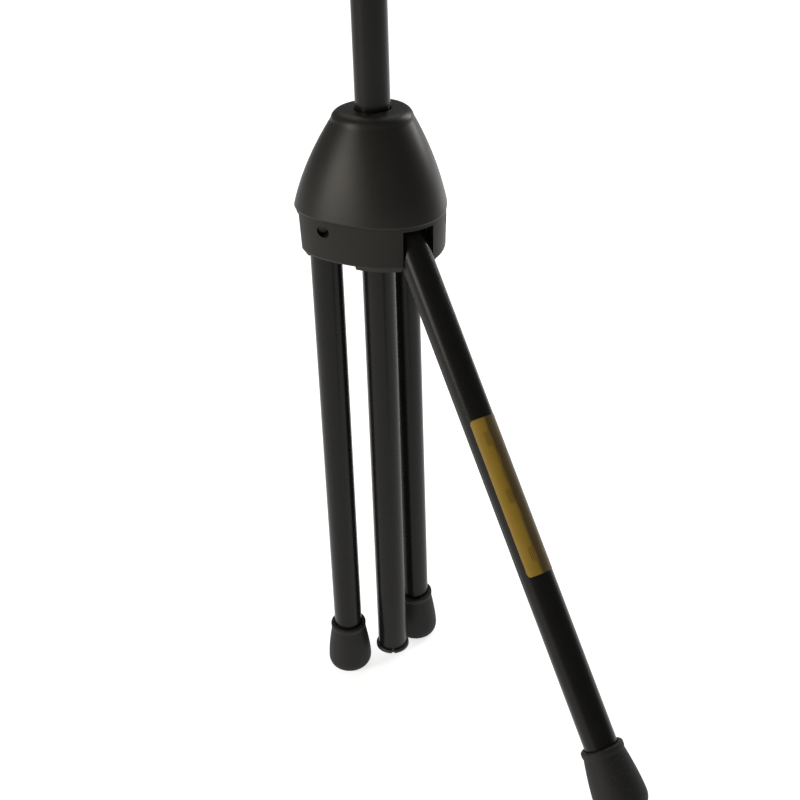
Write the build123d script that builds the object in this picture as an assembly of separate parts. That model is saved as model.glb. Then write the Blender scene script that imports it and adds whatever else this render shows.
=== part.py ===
from build123d import *
import os
from math import cos, radians, sin, sqrt

# Portable music stand on a folding three-leg base.
# Origin: shaft axis, lower face of the shaft's end flange. +Z up, desk faces -Y.

# ---- driving dimensions, millimetres ----
RIM_Z = 320.0            # joint line between the hub's cap and its lower body
CAP_HEIGHT = 54.0        # cap above the joint line
SKIRT_DEPTH = 25.5       # lower body below the joint line
LOBE_TURN = 180.0        # the three lobes sit over the legs
WALL = 2.6

LEG_AZIMUTH = {"a": 180.0, "b": 300.0, "c": 60.0}
LEG_SWING = {"a": 0.0, "b": 38.4, "c": 0.9}
LEG_R = 9.0
LEG_WALL = 1.2
LEG_HEAD = 17.0          # leg above its pivot
LEG_SOLE = 326.8         # sole below the pivot
PIVOT_R = 29.4           # pivot circle
PIVOT_Z = RIM_Z - 6.1
PIN_R = 2.5
PIN_RUN = 0.05           # running clearance on the pin
SLOT_HALF = 10.3         # half width of a leg's room in the hub
MOUTH_HALF = 9.5         # half width of its slot through the skirt

SHAFT_R = 9.525
SHAFT_WALL = 1.2
SHAFT_TOP = 600.0
FLANGE_R = 11.0
FLANGE_H = 2.5
BORE_RUN = 0.05

INNER_R = 7.95
INNER_WALL = 1.0
INNER_BOTTOM = 62.0
INNER_TOP = 634.0
COLLAR_R = 15.5

TILT_Z = 652.0           # tilt bolt axis
TONGUE_HALF = 8.0
DISC_T = 0.8
CHEEK_IN = 9.1
CHEEK_T = 2.0
DESK_REST = 18.0         # lean of the desk from vertical at rest
DESK_BACK = 20.0         # back of the desk in front of the tilt axis
DESK_T = 1.2
DESK_W = 508.0
DESK_LOW = -130.0        # underside of the ledge, below the tilt axis
DESK_HIGH = 188.0
LEDGE = 50.0
LIP = 12.0

os.makedirs("parts", exist_ok=True)


def save(shape, node):
    export_step(shape, f"parts/{node}.step")


def cylinder(r, z0, z1):
    return Pos(0, 0, (z0 + z1) / 2) * Cylinder(r, z1 - z0)


def ring(r_out, r_in, z0, z1):
    return cylinder(r_out, z0, z1) - cylinder(r_in, z0 - 1, z1 + 1)


def block(x0, x1, y0, y1, z0, z1):
    middle = Pos((x0 + x1) / 2, (y0 + y1) / 2, (z0 + z1) / 2)
    return middle * Box(x1 - x0, y1 - y0, z1 - z0)


def turned(*outline):
    """Solid of revolution about Z from an outline of (radius, z) points."""
    return revolve(Plane.XZ * make_face(Polyline(*outline, close=True)), Axis.Z)


def along_y(shape):
    """Lay a shape built along Z over onto +Y."""
    return Rot(-90, 0, 0) * shape


def along_x(shape):
    """Lay a shape built along Z over onto +X."""
    return Rot(0, 90, 0) * shape


# ---- hub ----
def trilobe(mean, lobe, z):
    """Closed plan outline: a circle of radius `mean` swelling by `lobe` over each leg."""
    points = []
    for k in range(24):
        a = radians(15.0 * k + 30.0)
        r = mean + lobe * cos(3 * (a - radians(LOBE_TURN)))
        points.append((r * cos(a), r * sin(a), z))
    return Wire([Spline(*points, periodic=True)])


def lofted(sections, inset=0.0, ruled=False):
    """Solid through trilobe sections of (height above the joint line, mean, lobe)."""
    wires = []
    for z, mean, lobe in sections:
        wires.append(trilobe(mean - inset, lobe, RIM_Z + z))
    return Solid.make_loft(wires, ruled)


CAP_OUT = [(0, 42.4, 3.2), (9.4, 39.65, 2.85), (22.9, 34.8, 2.2),
           (36.0, 28.95, 1.35), (48.0, 22.3, 0.5), (CAP_HEIGHT, 18.6, 0.1)]
CAP_IN = [(-1.0, 42.2, 3.2), (9.4, 39.65, 2.85), (22.9, 34.8, 2.2),
          (36.0, 28.95, 1.35), (46.0, 23.5, 0.5), (CAP_HEIGHT - 3.0, 20.3, 0.2)]
SKIRT_OUT = [(0, 41.6, 2.9), (-SKIRT_DEPTH + 3.5, 40.9, 2.9), (-SKIRT_DEPTH, 38.8, 2.8)]
SKIRT_IN = [(1, 41.6, 2.9), (-SKIRT_DEPTH + 3.5, 40.9, 2.9), (-SKIRT_DEPTH - 1, 38.6, 2.8)]

BUSH_R = 10.9
BUSH_LOW = 5.0
BUSH_HIGH = CAP_HEIGHT - 4.0
BOSS_LOW = 3.4
SCREW_AT = 27.0          # screws stand between the legs


def at_leg(name, shape):
    return Rot(0, 0, LEG_AZIMUTH[name]) * shape


def all_legs(shape):
    return [at_leg(name, shape) for name in LEG_AZIMUTH]


def between_legs(shape):
    return [Rot(0, 0, a) * shape for a in (0, 120, 240)]


def hub_bell():
    outer = lofted(CAP_OUT)
    top_edge = outer.edges().sort_by(Axis.Z)[-1]
    outer = fillet(top_edge, 3.5)
    rim_edge = outer.edges().sort_by(Axis.Z)[0]
    outer = fillet(rim_edge, 0.7)
    shell = outer - lofted(CAP_IN, inset=WALL)
    boss = turned((0, RIM_Z + BOSS_LOW), (12.2, RIM_Z + BOSS_LOW), (14.6, RIM_Z + 9.0),
                  (14.6, RIM_Z + 52.0), (0, RIM_Z + 52.0))
    posts = between_legs(Pos(SCREW_AT, 0, 0) * cylinder(4.4, RIM_Z, RIM_Z + 52))
    ribs = between_legs(block(12.0, 40.0, -0.9, 0.9, RIM_Z + 9.0, RIM_Z + 52))
    pilot = Pos(SCREW_AT, 0, 0) * cylinder(1.7, RIM_Z - 1, RIM_Z + 12)
    inner = Part() + boss + posts + ribs - between_legs(pilot)
    inner = inner - cylinder(BUSH_R, RIM_Z + BOSS_LOW - 1, RIM_Z + BUSH_HIGH)
    inner = inner & lofted(CAP_IN, inset=WALL - 0.4)
    return shell + inner - cylinder(SHAFT_R + 0.35, RIM_Z - 5, RIM_Z + CAP_HEIGHT + 5)


def hub_body():
    outer = lofted(SKIRT_OUT, ruled=True)
    inner = lofted(SKIRT_IN, inset=WALL, ruled=True)
    floor = RIM_Z - SKIRT_DEPTH
    shell = outer - inner

    # cheeks either side of each leg, the pin bosses through them and the screw posts
    web = Part()
    for side in (-1, 1):
        y0, y1 = sorted((side * SLOT_HALF, side * (SLOT_HALF + 3.2)))
        web += all_legs(block(10.5, 48, y0, y1, floor + 1.0, RIM_Z))
    boss = along_y(cylinder(5.6, -21.0, 34.0))
    web += all_legs(Pos(PIVOT_R, 0, PIVOT_Z) * boss)
    web += between_legs(Pos(SCREW_AT, 0, 0) * cylinder(4.4, RIM_Z - 9, RIM_Z))
    web += between_legs(block(15.0, 40.0, -0.9, 0.9, RIM_Z - 18.0, RIM_Z))
    shell = shell + (web & outer)

    # legs' room: open outward and below, with a lintel left under the rim as the spread stop
    room = block(0, 39.6, -SLOT_HALF, SLOT_HALF, floor - 1, RIM_Z + 1)
    slot = block(39.0, 50, -MOUTH_HALF, MOUTH_HALF, floor - 1, RIM_Z - 2.1)
    shell = shell - all_legs(room) - all_legs(slot)
    shell = shell - cylinder(14.2, floor - 1, RIM_Z + 1)

    # collar round the shaft, wide enough for its end flange
    collar = turned((11.5, floor - 5.0), (12.8, floor - 5.0), (15.6, floor + 2.5),
                    (15.6, floor + 12.5), (11.5, floor + 12.5))
    shell = shell + collar

    # pin holes: blind at one side, a wider mouth through the skirt at the other
    pin_hole = along_y(cylinder(PIN_R, -19.5, 22.0) + cylinder(3.25, 21.0, 40.0))
    shell = shell - all_legs(Pos(PIVOT_R, 0, PIVOT_Z) * pin_hole)
    screw_hole = cylinder(2.15, floor, RIM_Z + 1) + cylinder(4.4, floor - 1, RIM_Z - 9)
    shell = shell - between_legs(Pos(SCREW_AT, 0, 0) * screw_hole)

    # shallow relief in the bottom edge beside each slot
    relief = ring(60, 33, floor - 1, floor + 2.5)
    keep = Rot(0, 0, 18) * block(0, 70, 0, 70, floor - 2, floor + 3)
    keep = keep & (Rot(0, 0, -20) * block(0, 70, 0, 70, floor - 2, floor + 3))
    return shell - all_legs(relief & keep)


def hub_screws():
    screws = Part()
    for place in (0, 120, 240):
        top = RIM_Z + 9.0
        head = RIM_Z - 9.0
        body = turned((0, top), (0.8, top), (1.7, top - 2.5), (1.7, head), (3.6, head),
                      (3.6, head - 1.4), (2.6, head - 2.4), (0, head - 2.4))
        socket = block(-2.0, 2.0, -0.4, 0.4, head - 3.0, head - 1.2)
        cross = Rot(0, 0, 90) * socket
        screws += Rot(0, 0, place) * Pos(SCREW_AT, 0, 0) * (body - socket - cross)
    return screws


save(hub_bell(), "hub_bell")
save(hub_body(), "hub_body")
save(ring(BUSH_R, SHAFT_R + BORE_RUN, RIM_Z + BUSH_LOW, RIM_Z + BUSH_HIGH), "hub_guide_bush")
save(hub_screws(), "hub_screws")


# ---- legs, each built round its pivot and pointing down, X outward ----
HEAD_BUSH_R = 3.6
TUBE_END = LEG_SOLE - 5.4


def leg_place(name):
    turn = Rot(0, 0, LEG_AZIMUTH[name])
    return turn * Pos(PIVOT_R, 0, PIVOT_Z) * Rot(0, -LEG_SWING[name], 0)


def leg_tube():
    tube = ring(LEG_R, LEG_R - LEG_WALL, -TUBE_END, LEG_HEAD - 2.0)
    return tube - along_y(cylinder(HEAD_BUSH_R, -12, 12))


def leg_head():
    plug = turned((0, LEG_HEAD), (LEG_R - 1.0, LEG_HEAD), (LEG_R, LEG_HEAD - 1.0),
                  (LEG_R, LEG_HEAD - 2.0), (LEG_R - LEG_WALL, LEG_HEAD - 2.0),
                  (LEG_R - LEG_WALL, -15.0), (LEG_R - LEG_WALL - 1.0, -16.0), (0, -16.0))
    return plug - along_y(cylinder(HEAD_BUSH_R, -12, 12))


def leg_washers():
    washer = ring(6.5, PIN_R + PIN_RUN, 9.1, 9.9)
    return along_y(washer) + Rot(0, 0, 180) * along_y(washer)


def leg_foot():
    """Rubber cup: rolled lip, waist step, flare and a rounded sole."""
    s = -LEG_SOLE
    with BuildSketch(Plane.XZ) as profile:
        with BuildLine():
            Polyline((LEG_R, s + 5.4), (0, s + 5.4), (0, s), (11.2, s))
            Spline((11.2, s), (13.7, s + 2.0), (14.35, s + 8.0),
                   tangents=[(1, 0), (0, 1)])
            Spline((14.35, s + 8.0), (13.3, s + 20.5), (11.3, s + 30.5),
                   tangents=[(0, 1), (-0.15, 1)])
            Line((11.3, s + 30.5), (11.6, s + 31.3))
            Line((11.6, s + 31.3), (11.6, s + 33.7))
            RadiusArc((11.6, s + 33.7), (10.4, s + 34.9), -1.2)
            Line((10.4, s + 34.9), (LEG_R, s + 34.9))
            Line((LEG_R, s + 34.9), (LEG_R, s + 5.4))
        make_face()
    return revolve(profile.sketch, Axis.Z)


def leg_label():
    """Thin wrap over the outer third of the tube."""
    sleeve = ring(LEG_R + 0.12, LEG_R, -197.0, -110.0)
    wedge = Pos(0, 0, -153.5) * Cylinder(20, 100, arc_size=120)
    return sleeve & (Rot(0, 0, -60) * wedge)


head_bush = along_y(ring(HEAD_BUSH_R, PIN_R + PIN_RUN, -9.1, 9.1))
pin = along_y(cylinder(PIN_R, -19.5, 21.5))
for leg in LEG_AZIMUTH:
    place = leg_place(leg)
    save(place * leg_tube(), f"leg_{leg}_tube")
    save(place * leg_head(), f"leg_{leg}_head")
    save(place * head_bush, f"leg_{leg}_bush")
    save(place * leg_washers(), f"leg_{leg}_washers")
    save(place * leg_foot(), f"leg_{leg}_foot")
    save(at_leg(leg, Pos(PIVOT_R, 0, PIVOT_Z) * pin), f"pivot_pin_{leg}")
save(leg_place("b") * leg_label(), "leg_b_label")


# ---- outer shaft, its end flange and the clutch ----
SHAFT_BORE = SHAFT_R - SHAFT_WALL


def shaft_flange():
    plug = turned((0, 0), (FLANGE_R - 0.5, 0), (FLANGE_R, 0.5), (FLANGE_R, FLANGE_H - 0.6),
                  (FLANGE_R - 0.6, FLANGE_H), (SHAFT_BORE, FLANGE_H), (SHAFT_BORE, 21.0),
                  (SHAFT_BORE - 1.0, 22.0), (0, 22.0))
    plug = plug - cylinder(SHAFT_BORE - 2.0, 4.0, 30.0)
    return plug - block(-0.9, 0.9, -FLANGE_R - 1, -SHAFT_R, -1, FLANGE_H + 1)


def clutch_collar():
    """Grip collar pressed over the top of the outer tube, with shallow finger flutes."""
    z0 = SHAFT_TOP - 38.0
    z1 = SHAFT_TOP + 8.0
    body = turned((SHAFT_R, z0), (12.2, z0), (13.0, z0 + 1.0), (COLLAR_R, z0 + 9.0),
                  (COLLAR_R, z1 - 5.0), (14.3, z1 - 1.5), (12.6, z1),
                  (INNER_R + 0.35, z1), (INNER_R + 0.35, SHAFT_TOP + 2.0),
                  (SHAFT_R, SHAFT_TOP + 2.0))
    flute = cylinder(2.2, z0 + 11.0, z1 - 7.0)
    flutes = [Rot(0, 0, 30 * k) * Pos(COLLAR_R + 1.3, 0, 0) * flute for k in range(12)]
    return body - flutes


def clutch_bush():
    z = SHAFT_TOP
    bush = turned((INNER_R + BORE_RUN, z - 32.0), (SHAFT_BORE, z - 32.0), (SHAFT_BORE, z),
                  (SHAFT_R - 0.2, z), (SHAFT_R - 0.2, z + 1.6), (INNER_R + BORE_RUN, z + 1.6))
    return bush - block(0, 12, -0.8, 0.8, z - 40, z + 5)


save(ring(SHAFT_R, SHAFT_BORE, FLANGE_H, SHAFT_TOP), "outer_tube")
save(shaft_flange(), "shaft_end_flange")
save(clutch_collar(), "clutch_collar")
save(clutch_bush(), "clutch_bush")


# ---- inner tube, its guide plug and the tilt head ----
INNER_BORE = INNER_R - INNER_WALL
guide = turned((0, INNER_BOTTOM - 14.0), (SHAFT_BORE - 1.0, INNER_BOTTOM - 14.0),
               (SHAFT_BORE - BORE_RUN, INNER_BOTTOM - 13.0), (SHAFT_BORE - BORE_RUN, INNER_BOTTOM - 0.3),
               (INNER_BORE - BORE_RUN, INNER_BOTTOM - 0.3), (INNER_BORE - BORE_RUN, INNER_BOTTOM + 15.0),
               (INNER_BORE - 1.2, INNER_BOTTOM + 16.2), (0, INNER_BOTTOM + 16.2))
save(guide, "guide_plug")

PIN_CROSS_Z = 627.0
cross_hole = Pos(0, 0, PIN_CROSS_Z) * along_y(cylinder(1.5, -20, 20))
save(ring(INNER_R, INNER_BORE, INNER_BOTTOM, INNER_TOP) - cross_hole, "inner_tube")
save(Pos(0, 0, PIN_CROSS_Z) * along_y(ring(1.5, 0.8, -11.2, 11.2)), "tilt_head_pin")


def tilt_head():
    socket = turned((INNER_R, 614.0), (10.8, 614.0), (11.6, 615.5), (11.6, 636.5),
                    (10.6, 638.5), (0, 638.5), (0, INNER_TOP), (INNER_R, INNER_TOP))
    with BuildSketch(Plane.YZ) as side:
        with Locations((0, TILT_Z)):
            Circle(12.0)
        with Locations((0, (TILT_Z + 632.0) / 2)):
            Rectangle(19.0, TILT_Z - 632.0)
    tongue = extrude(side.sketch, TONGUE_HALF, both=True)
    tongue = tongue - cylinder(INNER_R + 2.0, 600, INNER_TOP + 0.5)
    bolt_hole = Pos(0, 0, TILT_Z) * along_x(cylinder(3.0, -20, 20))
    return socket + tongue - bolt_hole - cross_hole


def discs():
    disc = ring(9.0, 3.0, TONGUE_HALF, TONGUE_HALF + DISC_T)
    pair = along_x(disc) + Rot(0, 0, 180) * along_x(disc)
    return Pos(0, 0, TILT_Z) * pair


CHEEK_OUT = CHEEK_IN + CHEEK_T


def tilt_bolt():
    x0 = CHEEK_OUT + 0.3
    head = turned((0, x0), (6.5, x0), (6.5, x0 + 2.6), (5.6, x0 + 3.6), (0, x0 + 3.6))
    shank = cylinder(3.0, -x0 - 6.0, x0)
    hexagon = Pos(0, 0, x0 + 1.2) * extrude(RegularPolygon(2.3, 6), 4)
    return Pos(0, 0, TILT_Z) * along_x(head + shank - hexagon)


def tilt_nut():
    x0 = CHEEK_OUT + 0.3
    nut = extrude(RegularPolygon(5.8, 6), 4.2) - cylinder(3.0, -1, 9)
    skirt = ring(7.0, 3.0, -1.2, 0)
    return Pos(0, 0, TILT_Z) * Rot(0, -90, 0) * Pos(0, 0, x0 + 1.2) * (nut + skirt)


save(tilt_head(), "tilt_head")
save(discs(), "tilt_discs")
save(tilt_bolt(), "tilt_bolt")
save(tilt_nut(), "tilt_nut")


# ---- desk, built upright: back face at y = -DESK_BACK from the tilt axis, then leaned back ----
desk_place = Pos(0, 0, TILT_Z) * Rot(-DESK_REST, 0, 0)
RIVETS = [(x, z) for x in (-17.0, 17.0) for z in (-9.0, 9.0)]


def rivet_holes():
    front = -DESK_BACK - DESK_T
    hole = turned((0, front), (3.2, front), (2.0, -DESK_BACK), (2.0, -DESK_BACK + 9), (0, -DESK_BACK + 9))
    return [Pos(x, 0, z) * along_y(hole) for x, z in RIVETS]


def desk_panel():
    """Folded sheet: panel, ledge and lip in one strip, side and top flanges turned back, rivet holes."""
    back = -DESK_BACK
    front = back - DESK_T
    tip = front - LEDGE
    with BuildSketch(Plane.YZ) as side:
        with BuildLine():
            Polyline((back, DESK_HIGH), (back, DESK_LOW), (tip, DESK_LOW), (tip, DESK_LOW + LIP),
                     (tip + DESK_T, DESK_LOW + LIP), (tip + DESK_T, DESK_LOW + DESK_T),
                     (front, DESK_LOW + DESK_T), (front, DESK_HIGH), close=True)
        make_face()
        corners = side.sketch.vertices()
        outer = [v for v in corners if abs(v.Z - DESK_LOW) < 0.01]
        inner = [v for v in corners if abs(v.Z - DESK_LOW - DESK_T) < 0.01]
        fillet(outer, 3.2)
        fillet(inner, 2.0)
    sheet = extrude(side.sketch, DESK_W / 2, both=True)
    with BuildSketch(Plane.XZ) as face:
        with Locations((0, (DESK_LOW + DESK_HIGH) / 2)):
            Rectangle(DESK_W, DESK_HIGH - DESK_LOW)
        fillet(face.vertices().group_by(Axis.Y)[-1], 28.0)
    blank = extrude(face.sketch, 90, both=True)
    sheet = sheet & blank
    with BuildSketch(Plane.XZ) as frame:
        add(face.sketch)
        offset(amount=-DESK_T, mode=Mode.SUBTRACT)
    flange = extrude(frame.sketch, 9.0)
    flange = Pos(0, back + 9.0, 0) * flange
    flange = flange - block(-DESK_W, DESK_W, -90, 90, DESK_LOW - 5, DESK_LOW + 6)
    return sheet + flange - rivet_holes()


def desk_yoke():
    back = -DESK_BACK
    plate = block(-26, 26, back, back + CHEEK_T, -16, 16)
    plate = fillet(plate.edges().filter_by(Axis.Y), 5.0)
    with BuildSketch(Plane.YZ) as side:
        with BuildLine():
            Polyline((back, -16), (back + 5, -16), (3.0, -8.4))
            RadiusArc((3.0, -8.4), (3.0, 8.4), -sqrt(9.0 + 8.4 ** 2))
            Polyline((3.0, 8.4), (back + 5, 16), (back, 16), (back, -16))
        make_face()
    cheek = extrude(side.sketch, CHEEK_T)
    yoke = plate + Pos(CHEEK_IN, 0, 0) * cheek + Pos(-CHEEK_OUT, 0, 0) * cheek
    yoke = yoke - along_x(cylinder(3.05, -20, 20))
    return yoke - rivet_holes()


def desk_rivets():
    front = -DESK_BACK - DESK_T
    seat = -DESK_BACK + CHEEK_T
    rivet = turned((0, seat + 1.1), (2.6, seat + 1.1), (3.6, seat), (2.0, seat),
                   (2.0, -DESK_BACK), (3.2, front), (0, front))
    group = Part()
    for x, z in RIVETS:
        group += Pos(x, 0, z) * along_y(rivet)
    return group


save(desk_place * desk_panel(), "desk_panel")
save(desk_place * desk_yoke(), "desk_yoke")
save(desk_place * desk_rivets(), "desk_rivets")
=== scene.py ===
import math

import bpy
import numpy as np
from mathutils import Matrix, Vector


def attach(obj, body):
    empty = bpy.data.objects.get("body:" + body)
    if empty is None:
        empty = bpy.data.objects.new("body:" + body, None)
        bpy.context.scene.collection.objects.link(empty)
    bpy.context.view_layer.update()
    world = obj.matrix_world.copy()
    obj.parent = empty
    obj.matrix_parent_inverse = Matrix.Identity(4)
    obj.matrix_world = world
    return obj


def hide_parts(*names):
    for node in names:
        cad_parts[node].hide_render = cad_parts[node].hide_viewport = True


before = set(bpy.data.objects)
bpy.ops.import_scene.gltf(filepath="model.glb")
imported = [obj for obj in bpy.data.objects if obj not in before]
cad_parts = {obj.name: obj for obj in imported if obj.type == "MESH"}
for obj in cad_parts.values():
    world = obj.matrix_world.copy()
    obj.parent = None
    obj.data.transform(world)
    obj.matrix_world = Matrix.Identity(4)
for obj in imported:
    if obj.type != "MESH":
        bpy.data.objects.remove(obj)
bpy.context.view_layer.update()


# ---- the room: camera, floor and lamps ----
# A camera a little above the hub looks down on the folded base, close in, with a short lens.
# The floor is a plain pale sheet. Two soft lamps stand left, a tall one right and behind, and a wide one
# hangs overhead.
TURN = math.radians(-0.41)
PITCH, ROLL, YAW = math.radians(30.19), math.radians(-1.69), math.radians(0.89)
flat = math.cos(PITCH)
ahead = Vector((math.sin(YAW) * flat, math.cos(YAW) * flat, -math.sin(PITCH)))
side = Vector((math.cos(YAW), -math.sin(YAW), 0.0))
over = side.cross(ahead)
right = side * math.cos(ROLL) + over * math.sin(ROLL)
up = over * math.cos(ROLL) - side * math.sin(ROLL)
pose = Matrix((right, up, -ahead)).transposed().to_4x4()
camera = bpy.data.objects.new("camera", bpy.data.cameras.new("camera"))
camera.data.lens = 54.6
camera.data.sensor_width = 36.0
camera.data.clip_start = 0.02
stand_at = Matrix.Translation((0, -0.63557, 0.56225))
camera.matrix_world = Matrix.Rotation(TURN, 4, "Z") @ stand_at @ pose
bpy.context.scene.collection.objects.link(camera)
bpy.context.scene.camera = camera


def grid_mesh(name, points, wrap_u=True, wrap_v=False, sharp=35.0):
    """A surface through a (rows, columns, 3) array of points in metres.

    Columns close on each other when wrap_u is set and rows when wrap_v is set.
    A UV runs 0 to 1 along both."""
    points = np.asarray(points, dtype=float)
    rows, cols = points.shape[:2]
    i, j = np.meshgrid(np.arange(rows if wrap_v else rows - 1),
                       np.arange(cols if wrap_u else cols - 1), indexing="ij")
    i2, j2 = (i + 1) % rows, (j + 1) % cols
    faces = np.stack([i * cols + j, i * cols + j2, i2 * cols + j2, i2 * cols + j], -1).reshape(-1, 4)
    mesh = bpy.data.meshes.new(name)
    mesh.from_pydata(points.reshape(-1, 3), [], faces)
    u = np.stack([j, j + 1, j + 1, j], -1) / (cols if wrap_u else cols - 1)
    v = np.stack([i, i, i + 1, i + 1], -1) / (rows if wrap_v else rows - 1)
    layer = mesh.uv_layers.new(name="UVMap")
    layer.data.foreach_set("uv", np.stack([u, v], -1).reshape(-1).astype(np.float32))
    mesh.shade_smooth()
    mesh.set_sharp_from_angle(angle=math.radians(sharp))
    obj = bpy.data.objects.new(name, mesh)
    bpy.context.scene.collection.objects.link(obj)
    return obj


def effect_group():
    """Slow tone and roughness drift, fine grain for a bump, and dust on faces that look up."""
    tree = bpy.data.node_groups.new("surface_life", "ShaderNodeTree")
    new = tree.interface.new_socket
    for label, kind in (("Vector", "Vector"), ("Color", "Color"), ("Tone", "Color"), ("Patch", "Float"),
                        ("Grain", "Float"), ("Rough", "Float"), ("Rough drift", "Float"),
                        ("Dust", "Float")):
        new(name=label, in_out="INPUT", socket_type="NodeSocket" + kind)
    for label, kind in (("Color", "Color"), ("Roughness", "Float"), ("Height", "Float")):
        new(name=label, in_out="OUTPUT", socket_type="NodeSocket" + kind)
    nodes, link = tree.nodes, tree.links.new
    come, go = nodes.new("NodeGroupInput"), nodes.new("NodeGroupOutput")
    patch, grain = nodes.new("ShaderNodeTexNoise"), nodes.new("ShaderNodeTexNoise")
    patch.inputs["Detail"].default_value = 5.0
    grain.inputs["Detail"].default_value = 2.0
    link(come.outputs["Vector"], patch.inputs["Vector"])
    link(come.outputs["Vector"], grain.inputs["Vector"])
    link(come.outputs["Patch"], patch.inputs["Scale"])
    link(come.outputs["Grain"], grain.inputs["Scale"])
    tone = nodes.new("ShaderNodeMix")
    tone.data_type = "RGBA"
    link(patch.outputs["Fac"], tone.inputs["Factor"])
    link(come.outputs["Color"], tone.inputs["A"])
    link(come.outputs["Tone"], tone.inputs["B"])
    place = nodes.new("ShaderNodeNewGeometry")
    split = nodes.new("ShaderNodeSeparateXYZ")
    link(place.outputs["Normal"], split.inputs["Vector"])
    upward = nodes.new("ShaderNodeMapRange")
    upward.inputs["From Min"].default_value = 0.25
    link(split.outputs["Z"], upward.inputs["Value"])
    speck = nodes.new("ShaderNodeTexNoise")
    speck.inputs["Scale"].default_value = 900.0
    link(come.outputs["Vector"], speck.inputs["Vector"])
    dusty = nodes.new("ShaderNodeMapRange")
    dusty.inputs["From Min"].default_value = 0.60
    dusty.inputs["From Max"].default_value = 0.80
    link(speck.outputs["Fac"], dusty.inputs["Value"])
    first, second = nodes.new("ShaderNodeMath"), nodes.new("ShaderNodeMath")
    first.operation = second.operation = "MULTIPLY"
    link(upward.outputs["Result"], first.inputs[0])
    link(dusty.outputs["Result"], first.inputs[1])
    link(first.outputs["Value"], second.inputs[0])
    link(come.outputs["Dust"], second.inputs[1])
    cover = nodes.new("ShaderNodeMix")
    cover.data_type = "RGBA"
    cover.inputs["B"].default_value = (0.42, 0.40, 0.37, 1)
    link(second.outputs["Value"], cover.inputs["Factor"])
    link(tone.outputs["Result"], cover.inputs["A"])
    drift = nodes.new("ShaderNodeMath")
    drift.operation = "MULTIPLY_ADD"
    link(patch.outputs["Fac"], drift.inputs[0])
    link(come.outputs["Rough drift"], drift.inputs[1])
    link(come.outputs["Rough"], drift.inputs[2])
    link(cover.outputs["Result"], go.inputs["Color"])
    link(drift.outputs["Value"], go.inputs["Roughness"])
    link(grain.outputs["Fac"], go.inputs["Height"])
    return tree


surface_life = effect_group()


def finish(name, color, tone, rough, drift=0.1, patch=30.0, grain=2500.0, bump=0.05, depth=0.0001,
           dust=0.0, metallic=0.0, coat=0.0, level=0.5):
    """A material whose tone, roughness and grain come from the shared group with its own values."""
    material = bpy.data.materials.new(name)
    material.use_nodes = True
    nodes, link = material.node_tree.nodes, material.node_tree.links.new
    shader = nodes["Principled BSDF"]
    shader.inputs["Metallic"].default_value = metallic
    shader.inputs["Coat Weight"].default_value = coat
    shader.inputs["Coat Roughness"].default_value = 0.12
    shader.inputs["Specular IOR Level"].default_value = level
    life = nodes.new("ShaderNodeGroup")
    life.node_tree = surface_life
    where = nodes.new("ShaderNodeTexCoord")
    link(where.outputs["Object"], life.inputs["Vector"])
    for socket, value in (("Color", (*color, 1)), ("Tone", (*tone, 1)), ("Patch", patch), ("Grain", grain),
                          ("Rough", rough), ("Rough drift", drift), ("Dust", dust)):
        life.inputs[socket].default_value = value
    relief = nodes.new("ShaderNodeBump")
    relief.inputs["Strength"].default_value = bump
    relief.inputs["Distance"].default_value = depth
    link(life.outputs["Color"], shader.inputs["Base Color"])
    link(life.outputs["Roughness"], shader.inputs["Roughness"])
    link(life.outputs["Height"], relief.inputs["Height"])
    link(relief.outputs["Normal"], shader.inputs["Normal"])
    return material


FLOOR_Z = -0.0130
s, t = np.meshgrid(np.linspace(-9, 9, 25), np.linspace(-9, 9, 25))
floor = grid_mesh("floor", np.stack([s, t, np.full_like(s, FLOOR_Z)], -1), wrap_u=False)
paper = finish("floor_paper", (0.90, 0.90, 0.90), (0.88, 0.88, 0.88), 0.8, patch=2.0, grain=300.0,
               bump=0.02, level=0.1)


def brighter_when_seen(tree, strength, unseen, seen):
    """Gives a strength socket one value for the light that it casts and a brighter one for what is seen."""
    rays, level = tree.nodes.new("ShaderNodeLightPath"), tree.nodes.new("ShaderNodeMapRange")
    level.inputs["To Min"].default_value, level.inputs["To Max"].default_value = unseen, seen
    tree.links.new(rays.outputs["Is Camera Ray"], level.inputs["Value"])
    tree.links.new(level.outputs["Result"], strength)


glow = paper.node_tree.nodes["Principled BSDF"]
glow.inputs["Emission Color"].default_value = (1, 1, 1, 1)
brighter_when_seen(paper.node_tree, glow.inputs["Emission Strength"], 0.5, 0.75)
floor.data.materials.append(paper)


def lamp(name, place, target, width, height, watts, color):
    """A flat soft lamp that faces a point."""
    data = bpy.data.lights.new(name, "AREA")
    data.shape = "RECTANGLE"
    data.size, data.size_y, data.energy, data.color = width, height, watts, color
    obj = bpy.data.objects.new(name, data)
    obj.location = place
    obj.rotation_mode = "QUATERNION"
    obj.rotation_quaternion = (Vector(target) - Vector(place)).to_track_quat("-Z", "Y")
    bpy.context.scene.collection.objects.link(obj)


lamp("lamp_left", (-1.9, -0.75, 1.35), (0, 0, 0.25), 0.8, 0.9, 9, (1.0, 0.95, 0.87))
lamp("lamp_low", (-1.7, -0.8, 0.68), (0, 0, 0.3), 0.6, 0.7, 9, (1.0, 0.94, 0.85))
lamp("lamp_right", (1.5, 1.35, 1.1), (0, 0, 0.25), 0.5, 1.3, 16, (1.0, 0.98, 0.95))
lamp("lamp_over", (0.0, 1.6, 3.2), (0, 0.4, 0.0), 3.5, 3.0, 30, (1.0, 1.0, 1.0))
world = bpy.data.worlds.new("room")
world.use_nodes = True
air = world.node_tree.nodes["Background"]
air.inputs["Color"].default_value = (1, 1, 1, 1)
brighter_when_seen(world.node_tree, air.inputs["Strength"], 0.14, 0.93)
bpy.context.scene.world = world
bpy.context.scene.view_settings.view_transform = "Standard"


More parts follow.
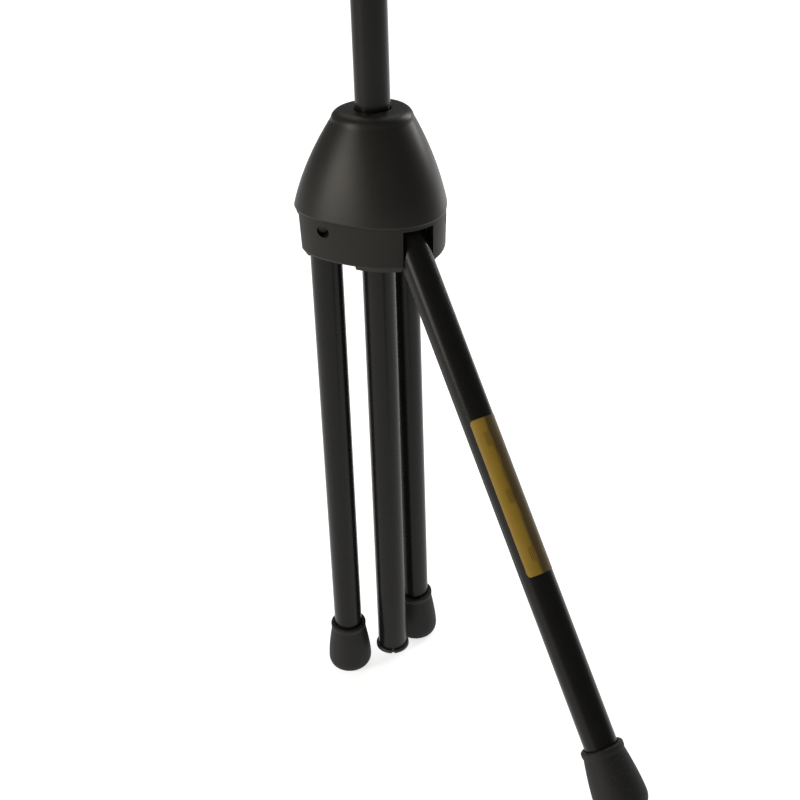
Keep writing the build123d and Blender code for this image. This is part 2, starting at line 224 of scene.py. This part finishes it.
# ---- hub ----
# The cap is a moulded bell with three soft lobes over the legs, and rests on a lower body with the leg
# slots. Both are satin black plastic with a fine grain, and three screws from below hold them together.
RIM_Z = 0.320
CAP_TOP = 52.8           # millimetres above the joint line
CAP_SHOULDER = 48.0      # where the side turns into the rounded top edge
around = np.linspace(0, 2 * np.pi, 193)[:-1]
LOBES = np.cos(3 * (around - np.pi))
hub_black = finish("hub_black", (0.016, 0.0152, 0.0132), (0.023, 0.0215, 0.0185), 0.34, drift=0.1,
                   patch=45.0, grain=3200.0, bump=0.08, depth=0.00008, dust=0.08, level=0.3)


def bell_radius(h):
    """Cap radius at a height above the joint line, for every direction: a round part that narrows faster
    towards the top, and a lobe over each leg that fades out."""
    mean = 42.4 - 0.236 * h - 0.0038 * h ** 2
    lobe = 3.2 * (1 - (h / 54.0) ** 1.35)
    return mean + lobe * LOBES


def bell_rows():
    """Rows of (radius around, height): out round the rim, up the side, over the rounded top edge, then
    down through the shaft hole and back along the inside, 2.6 mm further in."""
    rows = [(bell_radius(0.0) - 1.6, 0.0)]
    for a in np.linspace(-90, 20, 7):
        rows.append((bell_radius(0.8) - 0.9 + 0.9 * math.cos(math.radians(a)),
                     0.8 + 0.8 * math.sin(math.radians(a))))
    for h in np.linspace(2.0, 46.8, 38):
        rows.append((bell_radius(h), h))
    start = bell_radius(CAP_SHOULDER)
    for a in np.linspace(0, 90, 11):
        c, b = math.cos(math.radians(a)), math.sin(math.radians(a))
        rows.append((start - 6.2 + 6.2 * c - 0.5 * b * c, CAP_SHOULDER + (CAP_TOP - CAP_SHOULDER) * b))
    for r in np.linspace(15.0, 10.4, 5):
        rows.append((np.full(192, r), CAP_TOP))
    for h in (52.5, 52.0, 51.0):
        rows.append((np.full(192, 9.9), h))
    rows.append((np.full(192, 15.0), 50.6))
    for h in np.linspace(48.0, 1.0, 20):
        rows.append((bell_radius(h) - 2.6, h - 1.0))
    return rows


rows = [np.stack([r * np.cos(around), r * np.sin(around), np.full(192, h)], -1) for r, h in bell_rows()]
cap = grid_mesh("hub_cap", np.array(rows) / 1000 + (0, 0, RIM_Z), wrap_v=True)
cap.data.materials.append(hub_black)
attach(cap, "hub")
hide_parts("hub_bell")


def dress(material, *names):
    """Gives CAD nodes a material."""
    for name in names:
        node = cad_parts[name]
        node.data.materials.clear()
        node.data.materials.append(material)


skirt_black = finish("skirt_black", (0.016, 0.0152, 0.0132), (0.023, 0.0215, 0.0185), 0.42, drift=0.1,
                     patch=45.0, grain=3200.0, bump=0.08, depth=0.00008, level=0.17)
dress(skirt_black, "hub_body")
nylon = finish("nylon", (0.62, 0.61, 0.56), (0.70, 0.69, 0.64), 0.42, grain=1500.0)
steel = finish("plated_steel", (0.52, 0.52, 0.53), (0.60, 0.60, 0.61), 0.24, patch=80.0, grain=3000.0,
               metallic=1.0)
dress(nylon, "hub_guide_bush")
dress(steel, "hub_screws")
dark_steel = finish("dark_steel", (0.05, 0.05, 0.052), (0.08, 0.078, 0.075), 0.4, grain=2500.0,
                    metallic=0.8)
dress(dark_steel, "pivot_pin_a", "pivot_pin_b", "pivot_pin_c")


# ---- legs ----
# Each leg is an 18 mm steel tube, powder coated semi-gloss black. A nylon plug closes its upper end and
# carries the pivot bush, and a rubber foot is pushed over the lower end.
PIVOT_R, PIVOT_Z, SOLE = 29.4, 313.9, 326.8
LEGS = {"a": (180.0, 0.0), "b": (300.0, 38.4), "c": (60.0, 0.9)}
paint_black = finish("paint_black", (0.0065, 0.0063, 0.0055), (0.010, 0.0097, 0.0085), 0.24, drift=0.06,
                     patch=60.0, grain=400.0, bump=0.006, depth=0.0001, dust=0.03, level=0.22)


def lathe(outline, segments=96):
    """Points of an outline of (radius, height) carried round the Z axis."""
    outline = np.array(outline, dtype=float)
    a = np.linspace(0, 2 * np.pi, segments + 1)[:-1]
    r, z = outline[:, :1], outline[:, 1:]
    return np.stack([r * np.cos(a), r * np.sin(a), z + 0 * a], -1)


def in_leg(points, name):
    """Millimetre points of a leg built round its pivot, X outward, put in place and turned into metres."""
    azimuth, swing = (math.radians(d) for d in LEGS[name])
    place = (Matrix.Rotation(azimuth, 4, "Z") @ Matrix.Translation((PIVOT_R, 0, PIVOT_Z))
             @ Matrix.Rotation(-swing, 4, "Y"))
    m = np.array(place)
    return (points @ m[:3, :3].T + m[:3, 3]) / 1000


def tube_outline(r, wall, low, high, lip=0.4):
    """Outer side, rounded end and inner side of a straight tube, as a closed loop."""
    turn = np.radians(np.linspace(0, 90, 5))
    loop = [(r, z) for z in np.linspace(low + lip, high - lip, 12)]
    loop += [(r - lip + lip * math.cos(a), high - lip + lip * math.sin(a)) for a in turn[1:]]
    loop += [(r - wall, high - 0.1), (r - wall, low + 0.1)]
    loop += [(r - lip + lip * math.sin(a), low + lip - lip * math.cos(a)) for a in turn[:-1]]
    return loop


black_nylon = finish("black_nylon", (0.016, 0.016, 0.016), (0.026, 0.026, 0.026), 0.45, grain=1800.0)
for name in LEGS:
    tube = grid_mesh(f"leg_{name}_tube_skin", in_leg(lathe(tube_outline(9.0, 1.2, 5.4 - SOLE, 15.0)), name),
                     wrap_v=True)
    tube.data.materials.append(paint_black)
    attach(tube, f"leg_{name}")
    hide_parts(f"leg_{name}_tube")
    dress(black_nylon, f"leg_{name}_head", f"leg_{name}_washers")
    dress(steel, f"leg_{name}_bush")


# ---- label ----
# A mustard film label is stuck on the outer side of one leg, a third of the way round, with rounded
# corners. Its print is plain dark bars in three groups. A brown band down one half is painted shade on
# the side of the tube that turns away from the light.
def label_film():
    """Satin film: warm blotches, painted shade as a brown band down the far half with a noisy edge, and
    three groups of plain printed bars beside it, all placed by the label's UV."""
    material = finish("label_film", (0.30, 0.18, 0.010), (0.38, 0.235, 0.022), 0.34, drift=0.15,
                      patch=120.0, grain=900.0, bump=0.04)
    nodes, link = material.node_tree.nodes, material.node_tree.links.new
    print_tree = bpy.data.node_groups.new("label_print_and_shade", "ShaderNodeTree")
    for label, kind in (("UV", "Vector"), ("Color", "Color"), ("Ink_and_shade", "Color")):
        print_tree.interface.new_socket(name=label, in_out="INPUT", socket_type="NodeSocket" + kind)
    print_tree.interface.new_socket(name="Color", in_out="OUTPUT", socket_type="NodeSocketColor")
    inner, join = print_tree.nodes, print_tree.links.new
    come, go = inner.new("NodeGroupInput"), inner.new("NodeGroupOutput")
    parts = inner.new("ShaderNodeSeparateXYZ")
    join(come.outputs["UV"], parts.inputs["Vector"])

    def step(operation, first, second=0.0):
        node = inner.new("ShaderNodeMath")
        node.operation = operation
        join(first, node.inputs[0])
        if isinstance(second, float):
            node.inputs[1].default_value = second
        else:
            join(second, node.inputs[1])
        return node.outputs["Value"]

    along = step("FRACT", step("MULTIPLY", parts.outputs["Y"], 3.0))
    group = step("LESS_THAN", step("ABSOLUTE", step("SUBTRACT", along, 0.55)), 0.12)
    across = step("FRACT", step("MULTIPLY", parts.outputs["X"], 22.0))
    line = step("LESS_THAN", across, 0.5)
    near = step("LESS_THAN", step("ABSOLUTE", step("SUBTRACT", parts.outputs["X"], 0.66)), 0.07)
    bars = step("MULTIPLY", step("MULTIPLY", group, line), near)
    # Painted shade: a brown band darkens the far half of the label, its edge roughened by noise. It shares
    # the ink colour with the printed bars.
    shade_edge_noise = inner.new("ShaderNodeTexNoise")
    shade_edge_noise.inputs["Scale"].default_value = 9.0
    shade_edge_noise.inputs["Detail"].default_value = 4.0
    join(come.outputs["UV"], shade_edge_noise.inputs["Vector"])
    edge = step("ADD", parts.outputs["X"], step("MULTIPLY", shade_edge_noise.outputs["Fac"], 0.14))
    shade_band = inner.new("ShaderNodeMapRange")
    shade_band.inputs["From Min"].default_value, shade_band.inputs["From Max"].default_value = 0.68, 0.58
    join(edge, shade_band.inputs["Value"])
    print_and_shade_mask = step("MAXIMUM", step("MULTIPLY", bars, 0.6), step("MULTIPLY", shade_band.outputs["Result"], 0.78))
    ink_and_shade = inner.new("ShaderNodeMix")
    ink_and_shade.data_type = "RGBA"
    join(print_and_shade_mask, ink_and_shade.inputs["Factor"])
    join(come.outputs["Color"], ink_and_shade.inputs["A"])
    join(come.outputs["Ink_and_shade"], ink_and_shade.inputs["B"])
    join(ink_and_shade.outputs["Result"], go.inputs["Color"])
    use, where = nodes.new("ShaderNodeGroup"), nodes.new("ShaderNodeTexCoord")
    use.node_tree = print_tree
    # This colour prints the bars and also paints the shade band.
    use.inputs["Ink_and_shade"].default_value = (0.034, 0.021, 0.011, 1)
    shader = nodes["Principled BSDF"]
    link(where.outputs["UV"], use.inputs["UV"])
    link(shader.inputs["Base Color"].links[0].from_socket, use.inputs["Color"])
    link(use.outputs["Color"], shader.inputs["Base Color"])
    return material


def label_points():
    """A closed thin wrap: an outer face 0.14 mm off the tube and an edge that comes back to it, with the
    corners rounded by shortening the ends over the last 2 mm each side."""
    arc = np.linspace(-60, 60, 49)
    away = 2.0 - np.minimum(2.0, (60 - np.abs(arc)) * math.pi / 180 * 9.14)
    cut = 2.0 - np.sqrt(4.0 - away ** 2)
    rows = []
    for r, v in [(9.0, 0.0), (9.14, 0.0)] + [(9.14, k) for k in np.linspace(0, 1, 30)] + [(9.0, 1.0)]:
        z = (-110.0 - cut) * (1 - v) + (-197.0 + cut) * v
        rows.append(np.stack([r * np.cos(np.radians(arc)), r * np.sin(np.radians(arc)), z], -1))
    rows = np.array(rows)
    first, last = rows[:, :1] * (9.0 / 9.14, 9.0 / 9.14, 1), rows[:, -1:] * (9.0 / 9.14, 9.0 / 9.14, 1)
    return np.concatenate([first, rows, last], 1)


label = grid_mesh("leg_b_label_skin", in_leg(label_points()[:, ::-1], "b"), wrap_u=False)
label.data.materials.append(label_film())
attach(label, "leg_b")
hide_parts("leg_b_label")


# ---- feet ----
# A moulded rubber cup with a rolled lip, a narrow waist under it and a flare down to a rounded sole.
rubber = finish("foot_rubber", (0.010, 0.010, 0.010), (0.018, 0.017, 0.016), 0.55, drift=0.2, patch=90.0,
                grain=1400.0, bump=0.25, depth=0.0001, dust=0.2, level=0.35)


def foot_outline():
    """Loop from the bore's floor out under the sole, up the swelling side, over the lip and down the
    bore."""
    z = -SOLE
    loop = [(0.01, z + 0.5), (6.0, z + 0.5), (7.0, z + 0.05), (10.8, z)]
    for a in np.radians(np.linspace(-80, 0, 10)):
        loop.append((10.9 + 3.45 * math.cos(a), z + 6.5 + 6.5 * math.sin(a)))
    for k in np.linspace(0.12, 1, 12):
        loop.append((14.35 - 3.0 * k ** 1.5, z + 6.5 + 23.9 * k))
    loop += [(11.28, z + 30.9), (11.42, z + 31.3), (11.58, z + 31.7), (11.65, z + 32.9)]
    for a in np.radians(np.linspace(10, 90, 6)):
        loop.append((10.45 + 1.2 * math.cos(a), z + 33.7 + 1.2 * math.sin(a)))
    loop += [(9.5, z + 34.9), (9.02, z + 34.5), (9.02, z + 5.4), (0.01, z + 5.4)]
    return loop


for name in LEGS:
    foot = grid_mesh(f"leg_{name}_foot_skin", in_leg(lathe(foot_outline()), name), wrap_v=True)
    foot.data.materials.append(rubber)
    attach(foot, f"leg_{name}")
    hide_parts(f"leg_{name}_foot")


# ---- shaft ----
# The outer tube is 19 mm steel in the same semi-gloss black, and slides through the hub's guide bush.
# A moulded flange plugs its lower end.
shaft = grid_mesh("outer_tube_skin", lathe(tube_outline(9.525, 1.2, 2.5, 600.0)) / 1000, wrap_v=True)
shaft.data.materials.append(paint_black)
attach(shaft, "shaft")
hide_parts("outer_tube")
dress(black_nylon, "shaft_end_flange")


# ---- clutch and post ----
# A moulded grip collar with a split nylon bush holds the painted inner tube, which a guide plug centres
# lower down. The tilt head on top is moulded too, and a steel cross pin holds it on the tube.
dress(hub_black, "clutch_collar", "tilt_head")
dress(nylon, "clutch_bush")
dress(black_nylon, "guide_plug")
dress(paint_black, "inner_tube")
dress(steel, "tilt_head_pin")


# ---- desk ----
# The desk is a folded steel sheet with a fine textured coat, riveted to a bent yoke. A bolt and nut
# clamp the yoke on the tilt head through two nylon friction discs.
desk_black = finish("desk_black", (0.016, 0.016, 0.017), (0.024, 0.024, 0.025), 0.42, grain=1600.0,
                    bump=0.3, dust=0.1)
dress(desk_black, "desk_panel")
dress(paint_black, "desk_yoke")
dress(nylon, "tilt_discs")
dress(steel, "tilt_bolt", "tilt_nut", "desk_rivets")
